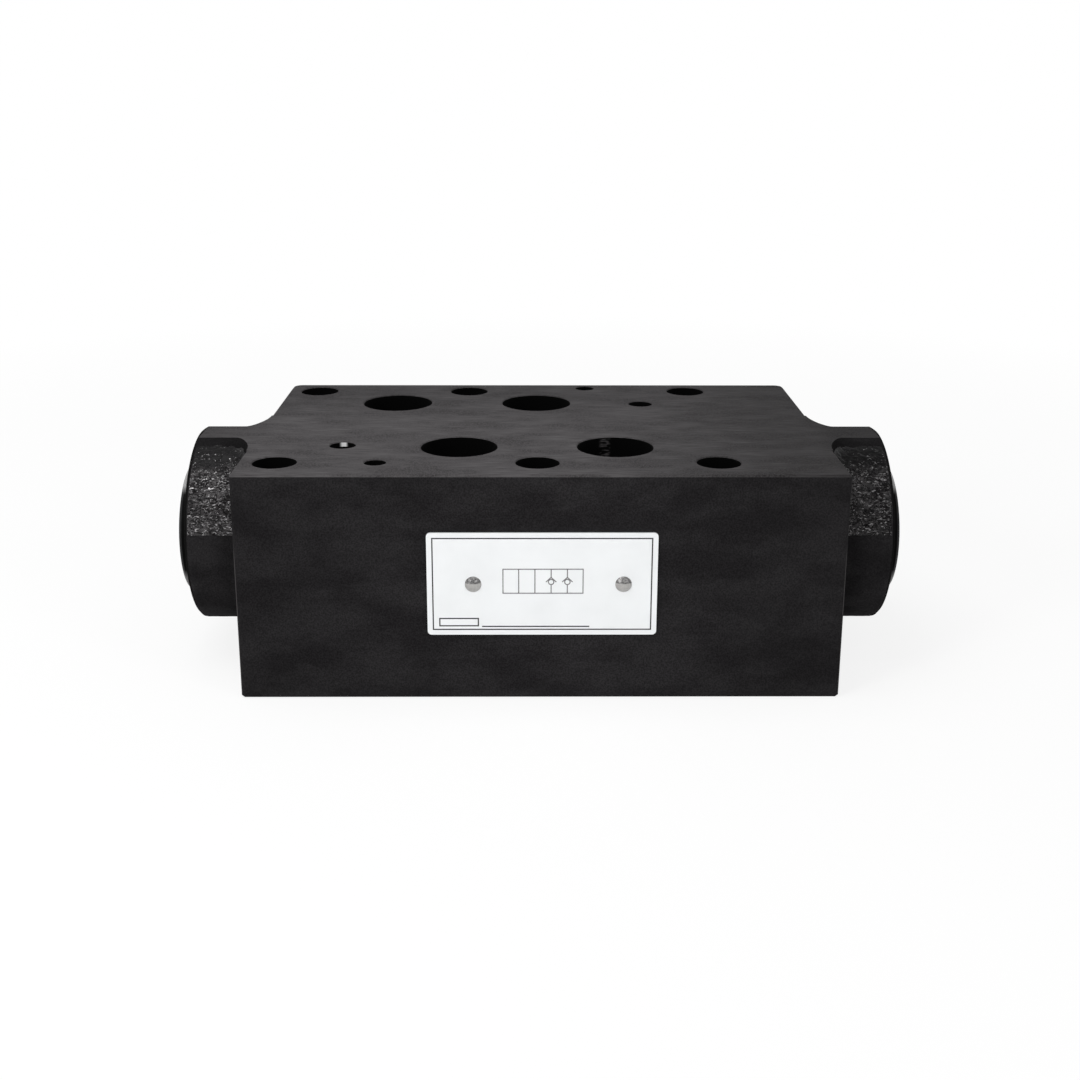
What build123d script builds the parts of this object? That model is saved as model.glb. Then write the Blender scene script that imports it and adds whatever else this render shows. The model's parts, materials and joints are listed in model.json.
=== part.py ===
from build123d import *
import math
import os

os.makedirs("parts", exist_ok=True)

# Sandwich valve block with two pilot-operated check valves, in millimetres.
# Origin: middle of the underside. +X runs along the valve bore, -Y is the face with the nameplate,
# +Z is up. The hole pattern is the size 08 pattern of ISO 4401, seen as in the photograph.

# Block casting
block_length = 177.4
block_depth = 115.4
block_height = 69.0
front_corner_radius = 1.0
back_corner_radius = 3.3
top_edge_chamfer = 0.6
bottom_edge_chamfer = 0.8

# Round cast bosses at both ends
boss_radius = 30.5
boss_reach = 18.5
boss_root_fillet = 6.0
boss_edge_chamfer = 0.8
boss_rise = 1.6

# Bolt, port and pin pattern, measured from the far left bolt hole
pattern_x = -77.9
pattern_y = 47.7
bolt_span_x = 130.2
bolt_span_y = 92.1
middle_bolt_back_x = 53.2
middle_bolt_front_x = 77.0
back_port_y = 17.5
front_port_y = 74.6
port_t_x = 29.4
port_p_x = 77.0
port_a_x = 53.2
port_b_x = 100.8
pilot_x_x = 17.5
pilot_x_y = 73.0
pilot_y_x = 112.7
pilot_y_y = 19.0
pin_back_x = 94.5
pin_back_y = -4.8
pin_front_x = 29.4

# Hole sizes
bolt_hole_radius = 6.5
port_radius = 11.7
pilot_radius = 4.0
pin_hole_radius = 3.25
pin_hole_depth = 10.0
hole_chamfer = 0.3

# Seal recesses in the underside
port_recess_radius = 16.5
pilot_recess_radius = 12.5
recess_depth = 2.3
port_seal_width = 3.3
seal_side_gap = 0.1
seal_set_back = 0.05

# Valve bore, with lengths from the middle outwards
bore_y = -9.5
bore_z = 37.7
piston_bore_radius = 14.0
piston_bore_half = 16.0
inner_ring_width = 10.0
ring_radius = 19.0
shoulder_land = 4.0
shoulder_bore_radius = 15.0
sleeve_bore_radius = 16.5
outer_ring_width = 11.0
thread_radius = 18.0
thread_relief = 4.0
plug_recess_radius = 20.0
plug_recess_depth = 2.6

# Cored galleries inside the casting
column_radius = 11.2
machined_above_bore = 2.8
front_column_depth = 37.0
lower_column_height = 15.0
gallery_radius = 7.0
gallery_z = 12.0
riser_radius = 5.5
riser_reach = 13.0
riser_height = 16.0

# Pilot line that goes round the valve bore
pilot_entry_depth = 8.0
pilot_bypass_radius = 3.0
pilot_bypass_y = -38.0

# How far a cutting shape runs past the surface that it opens
overrun = 1.0

# Clearances
running_gap = 0.05
static_gap = 0.05
seat_gap = 0.15
nose_gap = 0.3
end_gap = 0.1

# Pilot piston
piston_land_half = 11.5
piston_nose_radius = 5.0
piston_edge_chamfer = 1.0
piston_free_travel = 2.7
piston_groove_spacing = 6.0
piston_groove_width = 1.2
piston_groove_depth = 0.6

# Seat sleeve
sleeve_setback = 1.0
sleeve_guide_radius = 13.0
sleeve_length_past_ring = 26.8
seat_radius = 10.0
seat_lead_in = 1.0
seal_groove_inset = 6.8
seal_groove_width = 3.8
seal_groove_depth = 2.1
groove_to_ring = 1.6
seat_to_ring = 2.2
window_radius = 4.5
window_count = 6
backup_ring_width = 1.3

# Check poppet
poppet_nose_radius = 4.5
poppet_nose_chamfer = 1.0
poppet_lift = 6.0
poppet_cone_length = 4.0
poppet_waist_radius = 10.5
poppet_guide_length = 17.0
poppet_pocket_radius = 8.0
poppet_pocket_wall = 12.0

# Poppet spring
spring_wire_radius = 0.9
spring_mean_radius = 6.6
spring_turns = 7

# End plug
plug_head_radius = 20.75
plug_head_thickness = 4.1
plug_head_chamfer = 0.7
plug_neck_radius = 17.0
plug_neck_length = 3.4
plug_lead_chamfer = 1.2
plug_hex_across_flats = 19.0
plug_hex_depth = 11.0
spring_seat_radius = 9.0
spring_seat_depth = 3.0

# Nameplate and its drive rivets
plate_width = 66.8
plate_height = 31.4
plate_thickness = 0.6
plate_corner_radius = 1.2
plate_x = 0.4
plate_z = 36.2
rivet_middle_x = 2.2
rivet_spacing = 43.6
rivet_head_radius = 2.4
rivet_head_height = 1.2
rivet_shank_radius = 1.5
rivet_shank_length = 5.0
rivet_hole_extra = 0.5

# Places along the valve bore, from the middle outwards, and where the machined ports end above it
boss_end = block_length / 2 + boss_reach
inner_ring_end = piston_bore_half + inner_ring_width
shoulder = inner_ring_end + shoulder_land
sleeve_nose = inner_ring_end + sleeve_setback
groove_start = shoulder + seal_groove_inset
groove_end = groove_start + seal_groove_width
outer_ring_start = groove_end + groove_to_ring
outer_ring_end = outer_ring_start + outer_ring_width
outer_ring_middle = (outer_ring_start + outer_ring_end) / 2
seat = outer_ring_start - seat_to_ring
sleeve_end = outer_ring_end + sleeve_length_past_ring
thread_start = sleeve_end + thread_relief
plug_face = boss_end + plug_head_thickness
port_machined_end = bore_z + sleeve_bore_radius + machined_above_bore
piston_nose = sleeve_nose
poppet_nose = piston_nose + piston_free_travel + nose_gap
poppet_guide_end = sleeve_end - poppet_lift - 2 * nose_gap
poppet_guide_start = poppet_guide_end - poppet_guide_length
poppet_pocket = poppet_nose + poppet_pocket_wall + poppet_lift

# Places of the holes, seen from above
front_y = -block_depth / 2
bolts = {
    "f1": (pattern_x, pattern_y),
    "f2": (pattern_x + bolt_span_x, pattern_y),
    "f3": (pattern_x + bolt_span_x, pattern_y - bolt_span_y),
    "f4": (pattern_x, pattern_y - bolt_span_y),
    "f5": (pattern_x + middle_bolt_back_x, pattern_y),
    "f6": (pattern_x + middle_bolt_front_x, pattern_y - bolt_span_y),
}
through_ports = {
    "p": (pattern_x + port_p_x, pattern_y - back_port_y),
    "t": (pattern_x + port_t_x, pattern_y - back_port_y),
}
checked_ports = {
    "a": (pattern_x + port_a_x, pattern_y - front_port_y),
    "b": (pattern_x + port_b_x, pattern_y - front_port_y),
}
pilot_x = (pattern_x + pilot_x_x, pattern_y - pilot_x_y)
pilot_y = (pattern_x + pilot_y_x, pattern_y - pilot_y_y)
pins = [
    (pattern_x + pin_back_x, pattern_y - pin_back_y),
    (pattern_x + pin_front_x, pattern_y - bolt_span_y),
]
sides = {"left": -1, "right": 1}
rivet_x = {-1: rivet_middle_x - rivet_spacing / 2, 1: rivet_middle_x + rivet_spacing / 2}


def cylinder_between(start, end, radius):
    """A round bar from one point to another."""
    run = Vector(*end) - Vector(*start)
    return Solid.make_cylinder(radius, run.length, Plane(origin=Vector(*start), z_dir=run))


def upright(place, radius, low, high):
    """An upright round bar between two heights."""
    return cylinder_between((*place, low), (*place, high), radius)


def upright_chamfer(place, radius, height, inward):
    """The cone that breaks a hole's edge at the top (inward -1) or bottom (inward 1) face."""
    wide = Plane(origin=(*place, height), z_dir=(0, 0, inward))
    return Solid.make_cone(radius + hole_chamfer, radius, hole_chamfer, wide)


def turned(points, y=bore_y, z=bore_z):
    """A solid turned about a line along X from a half section of (distance along X, radius)."""
    section = make_face(Polyline(*points, close=True))
    return Pos(0, y, z) * revolve(section, Axis.X)


def facing(solid, side):
    """The same solid on the right, or turned round to face left about the bore's middle."""
    if side > 0:
        return solid
    return Pos(0, bore_y, 0) * Rot(0, 0, 180) * Pos(0, -bore_y, 0) * solid


def save(solid, name):
    solid.label = name
    export_step(solid, f"parts/{name}.step")


def cast_block():
    """The plain block, its back corners rounded as cast, its front ones sharper, its edges broken."""
    outline = Rectangle(block_length, block_depth)
    outline = fillet(outline.vertices().sort_by(Axis.Y)[:2], front_corner_radius)
    outline = fillet(outline.vertices().sort_by(Axis.Y)[-2:], back_corner_radius)
    block = extrude(outline, block_height)
    block = chamfer(block.faces().sort_by(Axis.Z)[-1].edges(), top_edge_chamfer)
    return chamfer(block.faces().sort_by(Axis.Z)[0].edges(), bottom_edge_chamfer)


def cast_boss():
    """One boss with its root fillet, cut level with the top face. The root starts inside the block."""
    wall = block_length / 2
    root = boss_root_fillet
    bend = RadiusArc((wall, boss_radius + root), (wall + root, boss_radius), -root)
    outline = Polyline(
        (wall + root, boss_radius),
        (boss_end - boss_edge_chamfer, boss_radius),
        (boss_end, boss_radius - boss_edge_chamfer),
        (boss_end, 0),
        (wall - root, 0),
        (wall - root, boss_radius + root),
        (wall, boss_radius + root),
    )
    bell = Pos(0, bore_y, bore_z + boss_rise) * revolve(make_face([bend, outline]), Axis.X)
    above = Pos(0, 0, block_height) * Box(
        3 * block_length, 3 * block_depth, block_height, align=(Align.CENTER, Align.CENTER, Align.MIN)
    )
    return bell - above


def valve_bore():
    """The stepped bore of one side, with its two port rings, thread and seal recess."""
    return turned([
        (0, 0),
        (0, piston_bore_radius),
        (piston_bore_half, piston_bore_radius),
        (piston_bore_half, ring_radius),
        (inner_ring_end, ring_radius),
        (inner_ring_end, shoulder_bore_radius),
        (shoulder, shoulder_bore_radius),
        (shoulder, sleeve_bore_radius),
        (outer_ring_start, sleeve_bore_radius),
        (outer_ring_start, ring_radius),
        (outer_ring_end, ring_radius),
        (outer_ring_end, sleeve_bore_radius),
        (thread_start, sleeve_bore_radius),
        (thread_start, thread_radius),
        (boss_end - plug_recess_depth, thread_radius),
        (boss_end - plug_recess_depth, plug_recess_radius),
        (boss_end + overrun, plug_recess_radius),
        (boss_end + overrun, 0),
    ])


def lower_gallery(place, side):
    """The cored way from a port in the underside to the ring behind its check seat."""
    x, y = place
    end_x = side * outer_ring_middle
    channel = cylinder_between((x, y, gallery_z), (end_x, y, gallery_z), gallery_radius)
    slot = SlotCenterToCenter(riser_reach, 2 * riser_radius, rotation=90)
    riser = Pos(end_x, y + riser_reach / 2, gallery_z) * extrude(slot, riser_height)
    return channel + riser


def recess(place, radius):
    """The shallow round recess that holds a seal in the underside."""
    return upright(place, radius, -overrun, recess_depth)


def hole_from_top(place, radius, floor):
    """A hole from the top face down to a floor, with a broken edge."""
    hole = upright(place, radius, floor, block_height + overrun)
    return hole + upright_chamfer(place, radius, block_height, -1)


def pilot_bypass():
    """Two straight entries, joined by two slanted drillings that meet in front of the valve bore."""
    x, y = pilot_x
    knee = (x, pilot_bypass_y, block_height / 2)
    upper = block_height - pilot_entry_depth
    lower = recess_depth + pilot_entry_depth
    way = hole_from_top(pilot_x, pilot_radius, upper)
    way += upright(pilot_x, pilot_radius, recess_depth, lower)
    way += cylinder_between((x, y, upper + pilot_bypass_radius), knee, pilot_bypass_radius)
    way += cylinder_between((x, y, lower - pilot_bypass_radius), knee, pilot_bypass_radius)
    way += Pos(*knee) * Sphere(pilot_bypass_radius)
    return way


def rivet_hole(side):
    """The blind hole that one rivet is driven into."""
    deep = front_y + rivet_shank_length + rivet_hole_extra - plate_thickness
    x = rivet_x[side]
    radius = rivet_shank_radius + static_gap
    return cylinder_between((x, front_y - overrun, plate_z), (x, deep, plate_z), radius)


def valve_body():
    """The casting with all its machined holes."""
    body = cast_block()
    for side in sides.values():
        body += facing(cast_boss(), side)
    for side in sides.values():
        body -= facing(valve_bore(), side)
    for place in bolts.values():
        body -= hole_from_top(place, bolt_hole_radius, -overrun)
        body -= upright_chamfer(place, bolt_hole_radius, 0, 1)
    for place in through_ports.values():
        body -= hole_from_top(place, port_radius, -overrun)
        body -= recess(place, port_recess_radius)
    for place, side in zip(checked_ports.values(), sides.values()):
        body -= hole_from_top(place, port_radius, port_machined_end)
        body -= upright(place, column_radius, block_height - front_column_depth, block_height)
        body -= upright(place, port_radius, -overrun, lower_column_height)
        body -= recess(place, port_recess_radius)
        body -= lower_gallery(place, side)
    body -= hole_from_top(pilot_y, pilot_radius, -overrun)
    body -= pilot_bypass()
    for place in (pilot_x, pilot_y):
        body -= recess(place, pilot_recess_radius)
    for place in pins:
        body -= hole_from_top(place, pin_hole_radius, block_height - pin_hole_depth)
    for side in sides.values():
        body -= rivet_hole(side)
    return body


def pilot_piston():
    """The floating piston between the two poppets, with balance grooves round its land."""
    land = piston_bore_radius - running_gap
    step = piston_nose_radius / 2
    half = [
        (piston_land_half, land - piston_edge_chamfer),
        (piston_land_half, piston_nose_radius + step),
        (piston_land_half + step, piston_nose_radius),
        (piston_nose - piston_edge_chamfer, piston_nose_radius),
        (piston_nose, piston_nose_radius - piston_edge_chamfer),
    ]
    edge = [(piston_land_half - piston_edge_chamfer, land)]
    right = edge + half + [(piston_nose, 0)]
    left = [(-x, r) for x, r in reversed(right)]
    piston = turned(left + right)
    for centre in (-piston_groove_spacing, 0, piston_groove_spacing):
        ring = turned([
            (centre - piston_groove_width / 2, land - piston_groove_depth),
            (centre - piston_groove_width / 2, land + overrun),
            (centre + piston_groove_width / 2, land + overrun),
            (centre + piston_groove_width / 2, land - piston_groove_depth),
        ])
        piston -= ring
    return piston


def seat_sleeve():
    """The hardened sleeve with the check seat, a seal groove and a row of round windows."""
    outer = sleeve_bore_radius - static_gap
    nose = shoulder_bore_radius - static_gap
    floor = sleeve_bore_radius - seal_groove_depth
    sleeve = turned([
        (sleeve_nose, seat_radius + seat_lead_in),
        (sleeve_nose, nose),
        (shoulder, nose),
        (shoulder, outer),
        (groove_start, outer),
        (groove_start, floor),
        (groove_end, floor),
        (groove_end, outer),
        (sleeve_end, outer),
        (sleeve_end, sleeve_guide_radius),
        (seat + seat_lead_in, sleeve_guide_radius),
        (seat, seat_radius),
        (sleeve_nose + seat_lead_in, seat_radius),
    ])
    for turn in range(window_count):
        angle = math.radians((turn + 0.5) * 360 / window_count)
        middle = (outer_ring_middle, bore_y, bore_z)
        rim = (
            outer_ring_middle,
            bore_y + 2 * sleeve_bore_radius * math.cos(angle),
            bore_z + 2 * sleeve_bore_radius * math.sin(angle),
        )
        sleeve -= cylinder_between(middle, rim, window_radius)
    return sleeve


def seat_seal():
    """The squeezed seal ring in the sleeve's groove, next to the backup ring."""
    inner = sleeve_bore_radius - seal_groove_depth
    width = seal_groove_width - backup_ring_width - seal_side_gap
    height = seal_groove_depth - static_gap
    middle = groove_end - seal_side_gap / 2 - width / 2
    section = Pos(middle, inner + height / 2) * RectangleRounded(width, height, width / 3)
    return Pos(0, bore_y, bore_z) * revolve(section, Axis.X)


def seat_backup_ring():
    """The flat ring that keeps the seal from creeping into the gap on its low-pressure side."""
    inner = sleeve_bore_radius - seal_groove_depth
    return turned([
        (groove_start, inner + static_gap),
        (groove_start, sleeve_bore_radius - static_gap),
        (groove_start + backup_ring_width, sleeve_bore_radius - static_gap),
        (groove_start + backup_ring_width, inner + static_gap),
    ])


def check_poppet():
    """The poppet: nose, seat cone, waist for the flow, guided skirt and spring pocket."""
    guide = sleeve_guide_radius - running_gap
    cone_start = seat - poppet_cone_length / 2
    cone_end = seat + poppet_cone_length / 2
    cone_low = seat_radius - seat_gap - poppet_cone_length / 2
    cone_high = seat_radius - seat_gap + poppet_cone_length / 2
    flare = guide - poppet_waist_radius
    return turned([
        (poppet_nose, 0),
        (poppet_nose, poppet_nose_radius - poppet_nose_chamfer),
        (poppet_nose + poppet_nose_chamfer, poppet_nose_radius),
        (cone_start, poppet_nose_radius),
        (cone_start, cone_low),
        (cone_end, cone_high),
        (cone_end + cone_high - poppet_waist_radius, poppet_waist_radius),
        (poppet_guide_start - flare, poppet_waist_radius),
        (poppet_guide_start, guide),
        (poppet_guide_end, guide),
        (poppet_guide_end, poppet_pocket_radius),
        (poppet_pocket, poppet_pocket_radius),
        (poppet_pocket, 0),
    ])


def poppet_spring():
    """The helical spring from the poppet's pocket to the plug, with its two ends ground flat."""
    start = poppet_pocket + end_gap
    end = sleeve_end + spring_seat_depth
    pitch = (end - start) / spring_turns
    path = Helix(pitch, end - start, spring_mean_radius, center=(start, bore_y, bore_z), direction=(1, 0, 0))
    wire = Plane(origin=path @ 0, z_dir=path % 0) * Circle(spring_wire_radius)
    coil = sweep(wire, path=path, is_frenet=True)
    room = Pos((start + end) / 2, bore_y, bore_z) * Box(
        end - start, 4 * spring_mean_radius, 4 * spring_mean_radius
    )
    return coil & room


def end_plug():
    """The screw plug: spring seat, plain lead, thread at its outer size, neck, round head, hex socket."""
    thread = thread_radius - static_gap
    lead = sleeve_bore_radius - static_gap
    plug = turned([
        (sleeve_end + spring_seat_depth, 0),
        (sleeve_end + spring_seat_depth, spring_seat_radius),
        (sleeve_end, spring_seat_radius),
        (sleeve_end, lead),
        (thread_start + static_gap, lead),
        (thread_start + plug_lead_chamfer, thread),
        (boss_end - plug_neck_length, thread),
        (boss_end - plug_neck_length, plug_neck_radius),
        (boss_end, plug_neck_radius),
        (boss_end, plug_head_radius),
        (plug_face - plug_head_chamfer, plug_head_radius),
        (plug_face, plug_head_radius - plug_head_chamfer),
        (plug_face, 0),
    ])
    hexagon = RegularPolygon(plug_hex_across_flats / 2, 6, major_radius=False)
    socket_plane = Plane(origin=(plug_face, bore_y, bore_z), x_dir=(0, 1, 0), z_dir=(1, 0, 0))
    return plug - extrude(socket_plane * hexagon, -plug_hex_depth)


def plug_seal():
    """The squeezed seal ring under the plug's head."""
    inner = plug_neck_radius + seal_side_gap
    width = plug_recess_radius - static_gap - inner
    height = plug_recess_depth - seal_set_back
    section = Pos(boss_end - plug_recess_depth + height / 2, inner + width / 2)
    section *= RectangleRounded(height, width, height / 3)
    return Pos(0, bore_y, bore_z) * revolve(section, Axis.X)


def face_seal(place, recess_radius):
    """A seal ring in its recess in the underside, squeezed level with the face."""
    outer = recess_radius - seal_side_gap
    height = recess_depth - seal_set_back
    middle = Pos(outer - port_seal_width / 2, recess_depth - height / 2)
    section = Plane.XZ * (middle * RectangleRounded(port_seal_width, height, height / 3))
    return Pos(*place, 0) * revolve(section, Axis.Z)


def nameplate():
    """The thin plate on the front face, with two round holes for its rivets."""
    outline = RectangleRounded(plate_width, plate_height, plate_corner_radius)
    for side in sides.values():
        outline -= Pos(rivet_x[side] - plate_x, 0) * Circle(rivet_shank_radius + static_gap)
    face = Plane(origin=(plate_x, front_y, plate_z), x_dir=(1, 0, 0), z_dir=(0, -1, 0))
    return extrude(face * outline, plate_thickness)


def nameplate_rivet(side):
    """A drive rivet with a low domed head."""
    sphere = (rivet_head_radius ** 2 + rivet_head_height ** 2) / (2 * rivet_head_height)
    dome = RadiusArc((rivet_head_radius, 0), (0, rivet_head_height), -sphere)
    rest = Polyline(
        (0, rivet_head_height),
        (0, -rivet_shank_length),
        (rivet_shank_radius, -rivet_shank_length),
        (rivet_shank_radius, 0),
        (rivet_head_radius, 0),
    )
    rivet = revolve(make_face([dome, rest]), Axis.Y)
    return Pos(rivet_x[side], front_y - plate_thickness, plate_z) * Rot(180, 0, 0) * rivet


save(valve_body(), "valve_body")
save(pilot_piston(), "pilot_piston")
for side_name, side_sign in sides.items():
    save(facing(end_plug(), side_sign), f"end_plug_{side_name}")
    save(facing(plug_seal(), side_sign), f"plug_seal_{side_name}")
    save(facing(seat_sleeve(), side_sign), f"seat_sleeve_{side_name}")
    save(facing(seat_seal(), side_sign), f"seat_seal_{side_name}")
    save(facing(seat_backup_ring(), side_sign), f"seat_backup_ring_{side_name}")
    save(facing(check_poppet(), side_sign), f"check_poppet_{side_name}")
    save(facing(poppet_spring(), side_sign), f"poppet_spring_{side_name}")
    save(nameplate_rivet(side_sign), f"nameplate_rivet_{side_name}")
for port_name, port_place in {**through_ports, **checked_ports}.items():
    save(face_seal(port_place, port_recess_radius), f"port_seal_{port_name}")
for pilot_name, pilot_place in {"x": pilot_x, "y": pilot_y}.items():
    save(face_seal(pilot_place, pilot_recess_radius), f"pilot_seal_{pilot_name}")
save(nameplate(), "nameplate")
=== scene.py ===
import json
import math

import bmesh
import bpy
from mathutils import Matrix, Vector, noise


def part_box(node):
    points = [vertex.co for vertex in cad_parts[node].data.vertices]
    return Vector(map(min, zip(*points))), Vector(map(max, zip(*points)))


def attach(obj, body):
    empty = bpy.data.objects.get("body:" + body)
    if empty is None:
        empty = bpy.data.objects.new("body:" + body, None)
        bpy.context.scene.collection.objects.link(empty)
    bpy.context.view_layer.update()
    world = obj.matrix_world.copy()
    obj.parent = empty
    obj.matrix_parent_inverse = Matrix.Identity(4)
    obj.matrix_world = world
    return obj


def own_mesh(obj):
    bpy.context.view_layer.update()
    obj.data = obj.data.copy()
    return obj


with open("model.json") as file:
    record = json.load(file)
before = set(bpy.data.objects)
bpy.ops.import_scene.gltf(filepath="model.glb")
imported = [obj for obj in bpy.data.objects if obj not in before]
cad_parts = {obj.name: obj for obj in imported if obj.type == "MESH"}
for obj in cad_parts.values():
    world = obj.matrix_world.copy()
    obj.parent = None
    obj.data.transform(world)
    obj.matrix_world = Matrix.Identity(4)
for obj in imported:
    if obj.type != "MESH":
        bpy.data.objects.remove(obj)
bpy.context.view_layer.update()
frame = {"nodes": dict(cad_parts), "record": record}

MM = 0.001
low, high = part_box("valve_body")
plate_low, plate_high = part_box("nameplate")
piston_low, piston_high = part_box("pilot_piston")
plug_low, plug_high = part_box("end_plug_right")

# Sizes of the block, in metres, read from the frame
block_top = high.z
boss_end = high.x
front_face = low.y
back_face = high.y
bore_y = (piston_low.y + piston_high.y) / 2
bore_z = (piston_low.z + piston_high.z) / 2
plug_radius = (plug_high.z - plug_low.z) / 2
plate_face = plate_low.y
plate_middle = (plate_low + plate_high) / 2

# Sizes of the block that no box gives
block_half_length = 88.7 * MM
boss_radius = 30.5 * MM
boss_root = 6.0 * MM
boss_rim = 0.8 * MM
boss_z = bore_z + 1.6 * MM
edge_break = 0.65 * MM
hole_break = 0.31 * MM
pilot_x_place = (-60.4 * MM, -25.3 * MM)
pilot_x_radius = 4.0 * MM
port_b_place = (22.9 * MM, -26.9 * MM)
port_radius = 11.7 * MM

# Cast skin of the bosses: its cell, its relief, and how far its edges go under the block's own surface
skin_cell = 0.34 * MM
skin_relief = 0.5 * MM
skin_rest = 0.06 * MM
skin_tuck = 0.12 * MM
rough_above = 44.8 * MM
rough_fades = 61.0 * MM
rough_ends = 68.2 * MM

# Printed lines on the nameplate, from its middle, in millimetres
ink_thickness = 0.03
border_inset = 1.5
border_line = 0.36
symbol_middle = (0.25, 0.95)
symbol_size = (23.5, 7.7)
symbol_line = 0.3
symbol_columns = 5
field_middle = (-24.2, -11.75)
field_size = (11.6, 2.65)
rule_ends = (-17.5, 13.8)
rule_height = -13.1

# Light: the room, the floor's share of real shadow and its reach, and each lamp's place, size and power
room_light = 0.46
floor_size = 4.0
shadow_share = 0.16
shadow_reach = 0.6
lamps = {
    "left_glint": ((-0.62, -0.62, 0.5), 0.2, 2.9),
    "right_glint": ((0.62, -0.62, 0.5), 0.2, 1.4),
    "top_softbox": ((-0.25, -0.1, 0.8), 0.5, 2.9),
}

# Camera, found from the hole pattern and the front face
camera_place = Vector((-3.4, -434.2, 180.9)) * MM
camera_pitch = 15.51
camera_yaw = -0.47
camera_roll = 0.14
focal_pixels = 1384
optical_row = 450
picture_pixels = 1080
sensor_mm = 36.0


def linear(code):
    """The linear colour of an sRGB hex value."""
    parts = [int(code[i:i + 2], 16) / 255 for i in (1, 3, 5)]
    return [p / 12.92 if p <= 0.04045 else ((p + 0.055) / 1.055) ** 2.4 for p in parts] + [1.0]


def add(tree, kind, sockets=None, **settings):
    """Adds a node with its settings. A socket gets a value, or a link from another node or its socket."""
    node = tree.nodes.new("ShaderNode" + kind)
    for name, value in settings.items():
        setattr(node, name, value)
    for name, value in (sockets or {}).items():
        if isinstance(value, bpy.types.Node):
            value = next(out for out in value.outputs if out.enabled)
        if isinstance(value, bpy.types.NodeSocket):
            tree.links.new(value, node.inputs[name])
        else:
            node.inputs[name].default_value = value
    return node


def start_finish(name):
    """An empty material and its node tree."""
    material = bpy.data.materials.new(name)
    material.use_nodes = True
    material.node_tree.nodes.clear()
    return material, material.node_tree


def end_finish(tree, sockets):
    """The shader of a material, with what feeds it."""
    shader = add(tree, "BsdfPrincipled", sockets)
    add(tree, "OutputMaterial", {"Surface": shader})


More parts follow.
